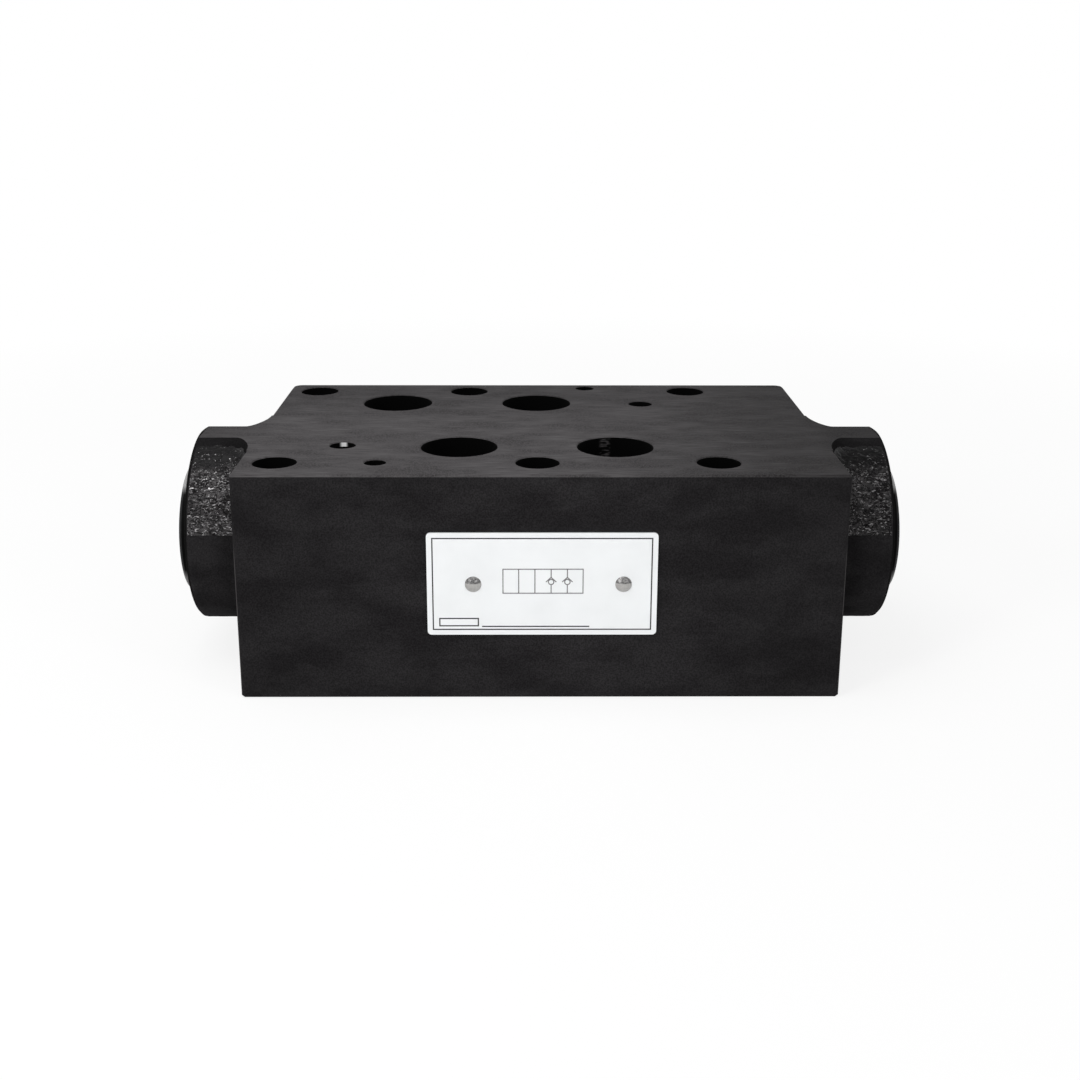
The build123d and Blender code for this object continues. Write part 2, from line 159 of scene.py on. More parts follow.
def black_cast_iron():
    """Phosphated cast iron, milled on top. It gives a soft black on the sides, a greyer top with fine cutter
    streaks along the block, and bored walls painted near black as painted shade."""
    material, tree = start_finish("black_phosphated_cast_iron")
    coords = add(tree, "TexCoord").outputs["Object"]
    x, y, z = add(tree, "SeparateXYZ", {0: coords}).outputs

    # How far a point is from the middle along the block, across it, and from the boss's axis
    along = add(tree, "Math", {0: x}, operation="ABSOLUTE")
    across = add(tree, "Math", {0: y}, operation="ABSOLUTE")
    from_boss = add(tree, "VectorMath", {0: coords, 1: (0, 1, 1), 2: (0, -bore_y, -boss_z)},
                    operation="MULTIPLY_ADD")
    from_boss = add(tree, "VectorMath", {0: from_boss}, operation="LENGTH").outputs["Value"]

    # Bored walls lie inside the block or inside a boss
    inside = add(tree, "Math", {0: along, 1: block_half_length - edge_break}, operation="LESS_THAN")
    behind_front = add(tree, "Math", {0: across, 1: back_face - edge_break}, operation="LESS_THAN")
    inside = add(tree, "Math", {0: inside, 1: behind_front}, operation="MULTIPLY")
    in_boss = add(tree, "Math", {0: from_boss, 1: boss_radius - 1.5 * MM}, operation="LESS_THAN")
    past_wall = add(tree, "Math", {0: along, 1: block_half_length - edge_break}, operation="GREATER_THAN")
    in_boss = add(tree, "Math", {0: in_boss, 1: past_wall}, operation="MULTIPLY")
    short_of_end = add(tree, "Math", {0: along, 1: boss_end - 0.1 * MM}, operation="LESS_THAN")
    in_boss = add(tree, "Math", {0: in_boss, 1: short_of_end}, operation="MULTIPLY")
    bored = add(tree, "Math", {0: inside, 1: in_boss}, operation="MAXIMUM")
    between_faces = add(tree, "Math", {0: z, 1: block_top / 2, 2: block_top / 2 - hole_break},
                        operation="COMPARE")
    bored = add(tree, "Math", {0: bored, 1: between_faces}, operation="MULTIPLY")

    # The milled top takes in the broken edges of the block and of the holes, but not the curve of a boss
    milled = add(tree, "Math", {0: z, 1: block_top - edge_break}, operation="GREATER_THAN")
    milled = add(tree, "Math", {0: milled, 1: bored}, operation="SUBTRACT", use_clamp=True)
    over_block = add(tree, "Math", {0: along, 1: block_half_length - 0.01 * MM}, operation="LESS_THAN")
    milled = add(tree, "Math", {0: milled, 1: over_block}, operation="MULTIPLY")
    flat_top = add(tree, "Math", {0: z, 1: block_top - 0.02 * MM}, operation="GREATER_THAN")
    milled = add(tree, "Math", {0: milled, 1: flat_top}, operation="MAXIMUM")
    turned_end = add(tree, "Math", {0: along, 1: boss_end - boss_rim}, operation="GREATER_THAN")

    # Cutter streaks 0.6 mm wide and 8 mm long, clouds of the phosphate 10 mm wide, sand grain 0.45 mm. The top is
    # darker towards the right end and the back, which is painted shade, and darker over the bosses.
    drawn_out = add(tree, "Mapping", {"Vector": coords, "Scale": (1 / 14, 1, 1)})
    streaks = add(tree, "TexNoise", {"Vector": drawn_out, "Scale": 1 / (0.6 * MM), "Detail": 5.0,
                                     "Roughness": 0.6})
    stretched = add(tree, "Mapping", {"Vector": coords, "Scale": (1 / 2.2, 1, 1)})
    clouds = add(tree, "TexNoise", {"Vector": stretched, "Scale": 1 / (10 * MM), "Detail": 6.0,
                                    "Roughness": 0.6})
    grain = add(tree, "TexNoise", {"Vector": coords, "Scale": 1 / (0.45 * MM), "Detail": 3.0})
    speckle = add(tree, "MapRange", {0: grain, 1: 0.35, 2: 0.65})

    streak_tone = add(tree, "MapRange", {0: streaks, 1: 0.3, 2: 0.7})
    cloud_tone = add(tree, "MapRange", {0: clouds, 1: 0.4, 2: 0.6})
    milled_light = add(tree, "Mix", {0: streak_tone, 6: linear("#393738"), 7: linear("#5B595A")},
                       data_type="RGBA")
    milled_dark = add(tree, "Mix", {0: speckle, 6: linear("#302E2F"), 7: linear("#4B494A")}, data_type="RGBA")
    milled_colour = add(tree, "Mix", {0: cloud_tone, 6: milled_dark, 7: milled_light}, data_type="RGBA")
    past_block = add(tree, "Math", {0: along, 1: block_half_length + 0.01 * MM}, operation="GREATER_THAN")
    shade_to_right = add(tree, "MapRange", {0: x, 1: 10 * MM, 2: 75 * MM, 3: 1.0, 4: 0.5})
    shade_to_back = add(tree, "MapRange", {0: y, 1: 0.0, 2: 45 * MM, 3: 1.0, 4: 0.72})
    to_boss = add(tree, "MapRange", {0: along, 1: block_half_length - 4 * MM, 2: block_half_length + 8 * MM,
                                     3: 1.0, 4: 0.78})
    top_darkening = add(tree, "Math", {0: shade_to_right, 1: shade_to_back}, operation="MINIMUM")
    top_darkening = add(tree, "Math", {0: top_darkening, 1: to_boss}, operation="MULTIPLY")
    milled_colour = add(tree, "Mix", {0: 1.0, 6: milled_colour, 7: top_darkening}, data_type="RGBA",
                        blend_type="MULTIPLY")
    side_dark = add(tree, "Mix", {0: speckle, 6: linear("#131213"), 7: linear("#1D1C1D")}, data_type="RGBA")
    side_light = add(tree, "Mix", {0: speckle, 6: linear("#1A191A"), 7: linear("#262526")}, data_type="RGBA")
    side_colour = add(tree, "Mix", {0: cloud_tone, 6: side_dark, 7: side_light}, data_type="RGBA")
    # Painted shade on the sides: darker in the root of each boss and towards its top, lighter outwards along the
    # boss, and darker towards the block's ends
    root_shade = add(tree, "MapRange", {0: along, 1: block_half_length + 3 * MM, 2: block_half_length + 11 * MM,
                                       3: 0.75, 4: 1.45})
    shade_towards_top = add(tree, "MapRange", {0: z, 1: 52 * MM, 2: 64 * MM, 3: 1.0, 4: 0.5})
    root_shade = add(tree, "Math", {0: root_shade, 1: shade_towards_top}, operation="MULTIPLY")
    shade_to_ends = add(tree, "MapRange", {0: along, 1: 20 * MM, 2: 75 * MM, 3: 1.45, 4: 1.15})
    side_shade = add(tree, "Mix", {0: past_block, 2: shade_to_ends, 3: root_shade}, data_type="FLOAT")
    side_colour = add(tree, "Mix", {0: 1.0, 6: side_colour, 7: side_shade}, data_type="RGBA",
                      blend_type="MULTIPLY")
    colour = add(tree, "Mix", {0: milled, 6: side_colour, 7: milled_colour}, data_type="RGBA")
    on_side = add(tree, "Math", {0: past_block, 1: milled}, operation="SUBTRACT", use_clamp=True)
    # A painted highlight: a light line down the front corners of the block's ends, below the boss's rough skin
    at_end = add(tree, "Math", {0: along, 1: block_half_length - 0.4 * MM}, operation="GREATER_THAN")
    at_front = add(tree, "Math", {0: y, 1: front_face + 0.7 * MM}, operation="LESS_THAN")
    low_down = add(tree, "MapRange", {0: z, 1: rough_above + 3 * MM, 2: rough_above - 3 * MM})
    edge_highlight = add(tree, "Math", {0: at_end, 1: at_front}, operation="MULTIPLY")
    edge_highlight = add(tree, "Math", {0: edge_highlight, 1: low_down}, operation="MULTIPLY")
    colour = add(tree, "Mix", {0: edge_highlight, 6: colour, 7: linear("#3C3A3B")}, data_type="RGBA")
    # The rim chamfer at the end of each boss is painted near black, as a painted shade line
    colour = add(tree, "Mix", {0: turned_end, 6: colour, 7: linear("#0B0B0B")}, data_type="RGBA")
    end_face = add(tree, "Math", {0: along, 1: boss_end - 0.02 * MM}, operation="GREATER_THAN")
    end_colour = add(tree, "Mix", {0: speckle, 6: linear("#232122"), 7: linear("#302E2F")}, data_type="RGBA")
    colour = add(tree, "Mix", {0: end_face, 6: colour, 7: end_colour}, data_type="RGBA")
    # Bored walls are painted near black: painted shade inside the holes
    colour = add(tree, "Mix", {0: bored, 6: colour, 7: linear("#030303")}, data_type="RGBA")

    # One pilot hole has a painted reflection, a bright strip on its upper wall, and one port a dull painted
    # reflection band broken by rings 0.5 mm apart
    from_strip = add(tree, "Math", {0: x, 1: pilot_x_place[0] - 0.2 * MM}, operation="SUBTRACT")
    from_strip = add(tree, "Math", {0: from_strip}, operation="ABSOLUTE")
    bright = add(tree, "MapRange", {0: from_strip, 1: 0.6 * MM, 2: 1.4 * MM, 3: 1.0, 4: 0.0})
    bright = add(tree, "Math", {0: bright, 1: 1.7}, operation="POWER")
    near_pilot = add(tree, "Math", {0: y, 1: pilot_x_place[1] + pilot_x_radius, 2: 1.5 * MM},
                     operation="COMPARE")
    upper_wall = add(tree, "Math", {0: z, 1: block_top - 1.6 * MM}, operation="GREATER_THAN")
    bright = add(tree, "Math", {0: bright, 1: near_pilot}, operation="MULTIPLY")
    bright = add(tree, "Math", {0: bright, 1: upper_wall}, operation="MULTIPLY")
    bright = add(tree, "Math", {0: bright, 1: bored}, operation="MULTIPLY")
    from_band = add(tree, "Math", {0: x, 1: port_b_place[0] - 2.6 * MM}, operation="SUBTRACT")
    from_band = add(tree, "Math", {0: from_band}, operation="ABSOLUTE")
    ringed_reflection = add(tree, "MapRange", {0: from_band, 1: 0.9 * MM, 2: 2.0 * MM, 3: 1.0, 4: 0.0})
    near_port = add(tree, "Math", {0: y, 1: port_b_place[1] + port_radius, 2: 1.5 * MM}, operation="COMPARE")
    ringed_reflection = add(tree, "Math", {0: ringed_reflection, 1: near_port}, operation="MULTIPLY")
    ringed_reflection = add(tree, "Math", {0: ringed_reflection, 1: bored}, operation="MULTIPLY")
    round_port = add(tree, "Mapping", {"Vector": coords, "Scale": (1 / 5, 1 / 5, 1)})
    rings = add(tree, "TexNoise", {"Vector": round_port, "Scale": 1 / (0.5 * MM), "Detail": 1.0})
    rings = add(tree, "MapRange", {0: rings, 1: 0.5, 2: 0.62})
    ringed_reflection = add(tree, "Math", {0: ringed_reflection, 1: rings}, operation="MULTIPLY")
    colour = add(tree, "Mix", {0: bright, 6: colour, 7: linear("#F4F4F4")}, data_type="RGBA")
    colour = add(tree, "Mix", {0: ringed_reflection, 6: colour, 7: linear("#413F40")}, data_type="RGBA")

    gloss = add(tree, "MapRange", {0: milled, 3: 0.85, 4: 0.75})
    gloss = add(tree, "Mix", {0: on_side, 2: gloss, 3: 1.0}, data_type="FLOAT")

    on_top = add(tree, "Math", {0: streaks, 1: milled}, operation="MULTIPLY")
    normal = add(tree, "Bump", {"Height": on_top, "Distance": 0.03 * MM, "Strength": 1.0})
    off_top = add(tree, "Math", {0: clouds, 1: milled}, operation="SUBTRACT")
    normal = add(tree, "Bump", {"Height": off_top, "Distance": 0.25 * MM, "Strength": 0.5, "Normal": normal})
    normal = add(tree, "Bump", {"Height": grain, "Distance": 0.02 * MM, "Strength": 1.0, "Normal": normal})
    end_finish(tree, {"Base Color": colour, "Roughness": gloss, "Normal": normal, "Specular IOR Level": 0.04})
    return material


def sand_cast_skin():
    """Sand-cast iron under black phosphate. It gives swollen folds painted grey in patches, as painted light on
    the boss's upper face, black creases between them as painted shade, and small bright metallic crests as painted
    glints. The left boss is painted lighter, as painted light from the left."""
    material, tree = start_finish("black_sand_cast_iron")
    coords = add(tree, "TexCoord").outputs["Object"]
    x, y, z = add(tree, "SeparateXYZ", {0: coords}).outputs

    # Folds 2 mm high and twice as long, gathered in patches 4 mm wide, and crests 0.6 mm high that carry the
    # painted glints
    drawn_out = add(tree, "Mapping", {"Vector": coords, "Scale": (1 / 2, 1 / 2, 1)})
    folds = add(tree, "TexNoise", {"Vector": drawn_out, "Scale": 1 / (2.0 * MM), "Detail": 3.0,
                                   "Distortion": 2.2})
    patches = add(tree, "TexNoise", {"Vector": coords, "Scale": 1 / (4 * MM), "Detail": 2.0})
    crests = add(tree, "TexNoise", {"Vector": drawn_out, "Scale": 1 / (0.6 * MM), "Detail": 2.0,
                                    "Distortion": 1.5})
    from_crease = add(tree, "Math", {0: folds, 1: 0.5}, operation="SUBTRACT")
    from_crease = add(tree, "Math", {0: from_crease}, operation="ABSOLUTE")
    swollen = add(tree, "MapRange", {0: from_crease, 1: 0.0, 2: 0.07})
    uneven = add(tree, "MapRange", {0: patches, 1: 0.35, 2: 0.65})

    # The rough skin thins out towards the top: first its folds, then its crests
    climb = add(tree, "MapRange", {0: z, 1: rough_fades, 2: rough_ends})
    thinning = add(tree, "MapRange", {0: uneven, 3: -0.2, 4: 0.25})
    thinning = add(tree, "Math", {0: climb, 1: thinning}, operation="ADD")
    rough = add(tree, "MapRange", {0: thinning, 1: 0.05, 2: 0.4, 3: 1.0, 4: 0.0})
    swollen = add(tree, "Math", {0: swollen, 1: rough}, operation="MULTIPLY")
    fewer = add(tree, "Math", {0: climb, 1: 0.12}, operation="MULTIPLY")
    glint_crests = add(tree, "Math", {0: crests, 1: fewer}, operation="SUBTRACT")
    glint_crests = add(tree, "MapRange", {0: glint_crests, 1: 0.57, 2: 0.68})

    # The skin is painted darker towards the right boss, as painted shade from the light on the left
    shade_to_right = add(tree, "MapRange", {0: x, 1: -boss_end, 2: boss_end, 3: 1.0, 4: 0.5})
    # Grey folds are painted light on the boss's upper face, black creases painted shade between them, and the
    # bright metallic crests painted glints
    fold_colour = add(tree, "Mix", {0: uneven, 6: linear("#2E2C2D"), 7: linear("#5C5A5B")}, data_type="RGBA")
    colour = add(tree, "Mix", {0: swollen, 6: linear("#111011"), 7: fold_colour}, data_type="RGBA")
    colour = add(tree, "Mix", {0: glint_crests, 6: colour, 7: linear("#B0AEAF")}, data_type="RGBA")
    colour = add(tree, "Mix", {0: 1.0, 6: colour, 7: shade_to_right}, data_type="RGBA", blend_type="MULTIPLY")
    gloss = add(tree, "MapRange", {0: crests, 1: 0.3, 2: 0.7, 3: 0.2, 4: 0.4})
    normal = add(tree, "Bump", {"Height": swollen, "Distance": 0.3 * MM, "Strength": 1.0})
    normal = add(tree, "Bump", {"Height": glint_crests, "Distance": 0.1 * MM, "Strength": 1.0, "Normal": normal})
    end_finish(tree, {"Base Color": colour, "Roughness": gloss, "Metallic": glint_crests, "Normal": normal,
                      "Specular IOR Level": 0.06})
    return material


def blackened_plug_steel():
    """Turned steel, oil-blackened. It gives a deep black with fine rings about its axis, and its rim is painted
    grey above and below as painted reflections of the room."""
    material, tree = start_finish("blackened_turned_steel")
    coords = add(tree, "TexCoord").outputs["Object"]
    radial = add(tree, "VectorMath", {0: coords, 1: (0, 1, 1), 2: (0, -bore_y, -bore_z)},
                 operation="MULTIPLY_ADD")
    height = add(tree, "SeparateXYZ", {0: radial}).outputs["Z"]
    radial = add(tree, "VectorMath", {0: radial}, operation="LENGTH").outputs["Value"]

    # Turning marks 0.5 mm apart, blotches of the oil 3 mm wide
    rings = add(tree, "Math", {0: radial, 1: 2 * math.pi / (0.5 * MM)}, operation="MULTIPLY")
    rings = add(tree, "Math", {0: rings}, operation="SINE")
    mottle = add(tree, "TexNoise", {"Vector": coords, "Scale": 1 / (3 * MM), "Detail": 4.0})
    tone = add(tree, "MapRange", {0: mottle, 1: 0.3, 2: 0.7})
    colour = add(tree, "Mix", {0: tone, 6: linear("#030303"), 7: linear("#080808")}, data_type="RGBA")
    along = add(tree, "Math", {0: add(tree, "SeparateXYZ", {0: coords}).outputs["X"]}, operation="ABSOLUTE")
    # The turned end face is lighter, banded by its turning rings; part of that lightness is a painted sheen
    end_face = add(tree, "Math", {0: along, 1: plug_high.x - 0.9 * MM}, operation="GREATER_THAN")
    ring_tone = add(tree, "MapRange", {0: rings, 1: -1.0, 2: 1.0})
    face_dark = add(tree, "Mix", {0: tone, 6: linear("#171718"), 7: linear("#212122")}, data_type="RGBA")
    face_light = add(tree, "Mix", {0: tone, 6: linear("#242425"), 7: linear("#303031")}, data_type="RGBA")
    face_colour = add(tree, "Mix", {0: ring_tone, 6: face_dark, 7: face_light}, data_type="RGBA")
    colour = add(tree, "Mix", {0: end_face, 6: colour, 7: face_colour}, data_type="RGBA")
    # The rim is painted grey above and below: painted reflections of the white room, lighter above
    rim = add(tree, "Math", {0: radial, 1: plug_radius - 0.6 * MM}, operation="GREATER_THAN")
    above = add(tree, "MapRange", {0: height, 1: 0.72 * plug_radius, 2: 0.82 * plug_radius})
    below = add(tree, "MapRange", {0: height, 1: -0.4 * plug_radius, 2: -0.55 * plug_radius})
    rim_reflection = add(tree, "Math", {0: above, 1: below}, operation="MAXIMUM")
    rim_reflection = add(tree, "Math", {0: rim_reflection, 1: rim}, operation="MULTIPLY")
    bare = add(tree, "Mix", {0: above, 6: linear("#6C6B6B"), 7: linear("#9C9B9B")}, data_type="RGBA")
    colour = add(tree, "Mix", {0: rim_reflection, 6: colour, 7: bare}, data_type="RGBA")
    gloss = add(tree, "MapRange", {0: mottle, 1: 0.2, 2: 0.8, 3: 0.34, 4: 0.5})
    normal = add(tree, "Bump", {"Height": rings, "Distance": 0.006 * MM, "Strength": 1.0})
    end_finish(tree, {"Base Color": colour, "Roughness": gloss, "Normal": normal, "Specular IOR Level": 0.03})
    return material


def printed_plate():
    """White enamelled aluminium sheet. It gives a clean cool white with a soft gloss and bare cut edges."""
    material, tree = start_finish("white_enamelled_aluminium")
    coords = add(tree, "TexCoord").outputs["Object"]
    y = add(tree, "SeparateXYZ", {0: coords}).outputs["Y"]
    printed = add(tree, "Math", {0: y, 1: plate_face + 0.05 * MM}, operation="LESS_THAN")

    # Enamel ripples 1.2 mm wide, tone drifts over 9 mm
    peel = add(tree, "TexNoise", {"Vector": coords, "Scale": 1 / (1.2 * MM), "Detail": 3.0})
    clouds = add(tree, "TexNoise", {"Vector": coords, "Scale": 1 / (9 * MM), "Detail": 2.0})
    tone = add(tree, "MapRange", {0: clouds, 1: 0.3, 2: 0.7})
    white = add(tree, "Mix", {0: tone, 6: linear("#EEF0F1"), 7: linear("#F2F4F5")}, data_type="RGBA")
    colour = add(tree, "Mix", {0: printed, 6: linear("#B9BBBD"), 7: white}, data_type="RGBA")
    gloss = add(tree, "MapRange", {0: peel, 1: 0.2, 2: 0.8, 3: 0.36, 4: 0.46})
    normal = add(tree, "Bump", {"Height": peel, "Distance": 0.01 * MM, "Strength": 1.0})
    end_finish(tree, {"Base Color": colour, "Roughness": gloss, "Normal": normal, "Specular IOR Level": 0.35})
    return material


def printing_ink(name, dark, light):
    """Screen-printed ink. It gives thin matt lines on the white plate, a little worn."""
    material, tree = start_finish(name)
    coords = add(tree, "TexCoord").outputs["Object"]

    # Worn specks 0.4 mm wide
    wear = add(tree, "TexNoise", {"Vector": coords, "Scale": 1 / (0.4 * MM), "Detail": 3.0})
    tone = add(tree, "MapRange", {0: wear, 1: 0.35, 2: 0.7})
    colour = add(tree, "Mix", {0: tone, 6: linear(dark), 7: linear(light)}, data_type="RGBA")
    gloss = add(tree, "MapRange", {0: wear, 1: 0.2, 2: 0.8, 3: 0.5, 4: 0.65})
    end_finish(tree, {"Base Color": colour, "Roughness": gloss, "Specular IOR Level": 0.3})
    return material


def rivet_steel():
    """Plated drive rivets. It gives a light grey metal dome, painted darker in its upper part as painted shade."""
    material, tree = start_finish("plated_rivet_steel")
    coords = add(tree, "TexCoord").outputs["Object"]
    z = add(tree, "SeparateXYZ", {0: coords}).outputs["Z"]

    # Specks 0.5 mm wide in the shaded upper part, hammer dimples 1.1 mm wide
    specks = add(tree, "TexNoise", {"Vector": coords, "Scale": 1 / (0.5 * MM), "Detail": 3.0})
    dimples = add(tree, "TexNoise", {"Vector": coords, "Scale": 1 / (1.1 * MM), "Detail": 3.0})
    tone = add(tree, "MapRange", {0: specks, 1: 0.35, 2: 0.65})
    # The upper part of the dome is painted darker: painted shade
    dull = add(tree, "Mix", {0: tone, 6: linear("#4A494A"), 7: linear("#8E8D8C")}, data_type="RGBA")
    plated = add(tree, "Mix", {0: tone, 6: linear("#A8A6A4"), 7: linear("#B6B4B2")}, data_type="RGBA")
    upper = add(tree, "MapRange", {0: z, 1: plate_middle.z + 0.35 * MM, 2: plate_middle.z + 0.6 * MM})
    colour = add(tree, "Mix", {0: upper, 6: plated, 7: dull}, data_type="RGBA")
    gloss = add(tree, "MapRange", {0: dimples, 1: 0.2, 2: 0.8, 3: 0.35, 4: 0.5})
    normal = add(tree, "Bump", {"Height": dimples, "Distance": 0.08 * MM, "Strength": 1.0})
    end_finish(tree, {"Base Color": colour, "Roughness": gloss, "Normal": normal, "Metallic": 1.0})
    return material


def ground_steel():
    """Hardened ground steel. It gives bright grey with very fine grinding lines round the axis."""
    material, tree = start_finish("hardened_ground_steel")
    coords = add(tree, "TexCoord").outputs["Object"]

    # Grinding lines 0.35 mm apart, drawn coarser than real so that they show
    stretched = add(tree, "Mapping", {"Vector": coords, "Scale": (1, 1 / 30, 1 / 30)})
    lines = add(tree, "TexNoise", {"Vector": stretched, "Scale": 1 / (0.35 * MM), "Detail": 3.0})
    tone = add(tree, "MapRange", {0: lines, 1: 0.3, 2: 0.7})
    colour = add(tree, "Mix", {0: tone, 6: linear("#8F9092"), 7: linear("#A9AAAC")}, data_type="RGBA")
    gloss = add(tree, "MapRange", {0: lines, 1: 0.2, 2: 0.8, 3: 0.22, 4: 0.34})
    normal = add(tree, "Bump", {"Height": lines, "Distance": 0.004 * MM, "Strength": 1.0})
    end_finish(tree, {"Base Color": colour, "Roughness": gloss, "Normal": normal, "Metallic": 1.0})
    return material


def spring_wire():
    """Drawn spring steel. It gives a dull grey wire with streaks and a trace of oil."""
    material, tree = start_finish("drawn_spring_steel")
    coords = add(tree, "TexCoord").outputs["Object"]

    # Drawing marks 0.5 mm wide
    drawn = add(tree, "TexNoise", {"Vector": coords, "Scale": 1 / (0.5 * MM), "Detail": 4.0})
    tone = add(tree, "MapRange", {0: drawn, 1: 0.3, 2: 0.7})
    colour = add(tree, "Mix", {0: tone, 6: linear("#6E6F70"), 7: linear("#8B8B8B")}, data_type="RGBA")
    gloss = add(tree, "MapRange", {0: drawn, 1: 0.2, 2: 0.8, 3: 0.25, 4: 0.45})
    normal = add(tree, "Bump", {"Height": drawn, "Distance": 0.01 * MM, "Strength": 1.0})
    end_finish(tree, {"Base Color": colour, "Roughness": gloss, "Normal": normal, "Metallic": 1.0})
    return material


def nitrile_rubber():
    """Moulded nitrile rubber. It gives a dull soft black with a slight bloom."""
    material, tree = start_finish("moulded_nitrile_rubber")
    coords = add(tree, "TexCoord").outputs["Object"]

    # Bloom 2.2 mm wide, mould texture 0.3 mm
    bloom = add(tree, "TexNoise", {"Vector": coords, "Scale": 1 / (2.2 * MM), "Detail": 4.0})
    fine = add(tree, "TexNoise", {"Vector": coords, "Scale": 1 / (0.3 * MM), "Detail": 2.0})
    tone = add(tree, "MapRange", {0: bloom, 1: 0.3, 2: 0.7})
    colour = add(tree, "Mix", {0: tone, 6: linear("#121212"), 7: linear("#1E1E1E")}, data_type="RGBA")
    gloss = add(tree, "MapRange", {0: bloom, 1: 0.2, 2: 0.8, 3: 0.5, 4: 0.7})
    normal = add(tree, "Bump", {"Height": fine, "Distance": 0.01 * MM, "Strength": 1.0})
    end_finish(tree, {"Base Color": colour, "Roughness": gloss, "Normal": normal, "Specular IOR Level": 0.4})
    return material


def turned_ptfe():
    """Turned PTFE. It gives a milky, waxy white ring with fine tool lines."""
    material, tree = start_finish("turned_ptfe")
    coords = add(tree, "TexCoord").outputs["Object"]

    # Tool lines 0.3 mm apart
    stretched = add(tree, "Mapping", {"Vector": coords, "Scale": (1, 1 / 20, 1 / 20)})
    lines = add(tree, "TexNoise", {"Vector": stretched, "Scale": 1 / (0.3 * MM), "Detail": 3.0})
    tone = add(tree, "MapRange", {0: lines, 1: 0.3, 2: 0.7})
    colour = add(tree, "Mix", {0: tone, 6: linear("#DAD6CC"), 7: linear("#E8E5DC")}, data_type="RGBA")
    gloss = add(tree, "MapRange", {0: lines, 1: 0.2, 2: 0.8, 3: 0.4, 4: 0.55})
    normal = add(tree, "Bump", {"Height": lines, "Distance": 0.006 * MM, "Strength": 1.0})
    end_finish(tree, {"Base Color": colour, "Roughness": gloss, "Normal": normal, "Subsurface Weight": 0.1})
    return material


def finish_nodes():
    """Gives every node of the frame the material of its finish."""
    finishes = {
        "casting": black_cast_iron(),
        "plug_steel": blackened_plug_steel(),
        "hardened_steel": ground_steel(),
        "spring_steel": spring_wire(),
        "seal_rubber": nitrile_rubber(),
        "backup_ring": turned_ptfe(),
        "nameplate": printed_plate(),
        "rivet_steel": rivet_steel(),
    }
    slots = {part["node"]: part["material_slot"] for part in frame["record"]["subparts"]}
    for name, node in frame["nodes"].items():
        material = finishes[slots[name]]
        if not node.material_slots:
            node.data.materials.append(material)
        for slot in node.material_slots:
            slot.link = "OBJECT"
            slot.material = material


def squash_springs():
    """Gives each spring a mesh of its own."""
    for side, outer in (("left", 0), ("right", 1)):
        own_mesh(frame["nodes"][f"poppet_spring_{side}"])


def settle(mesh, name, materials):
    """Makes a piece of a bmesh, gives it its materials and lets it ride on the block."""
    data = bpy.data.meshes.new(name)
    mesh.to_mesh(data)
    mesh.free()
    for material in materials:
        data.materials.append(material)
    piece = bpy.data.objects.new(name, data)
    bpy.context.scene.collection.objects.link(piece)
    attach(piece, "valve_block")


def ramp(value, start, end):
    """How far a value has gone from start to end, from 0 to 1."""
    return min(1.0, max(0.0, (value - start) / (end - start)))


def wrinkle(place):
    """The height of the cast skin at a point, from 0 to 1: swollen folds with thin creases between them."""
    spot = place / (2.4 * MM)
    spot = spot + 0.5 * noise.noise_vector(spot * 1.3)
    folds = min(1.0, 3 * abs(noise.noise(spot)))
    small = min(1.0, 3 * abs(noise.noise(spot * 2.3 + Vector((7, 3, 5)))))
    swell = noise.noise(spot * 0.35)
    return min(1.0, max(0.0, 0.1 + 0.5 * folds + 0.25 * small + 0.3 * swell))


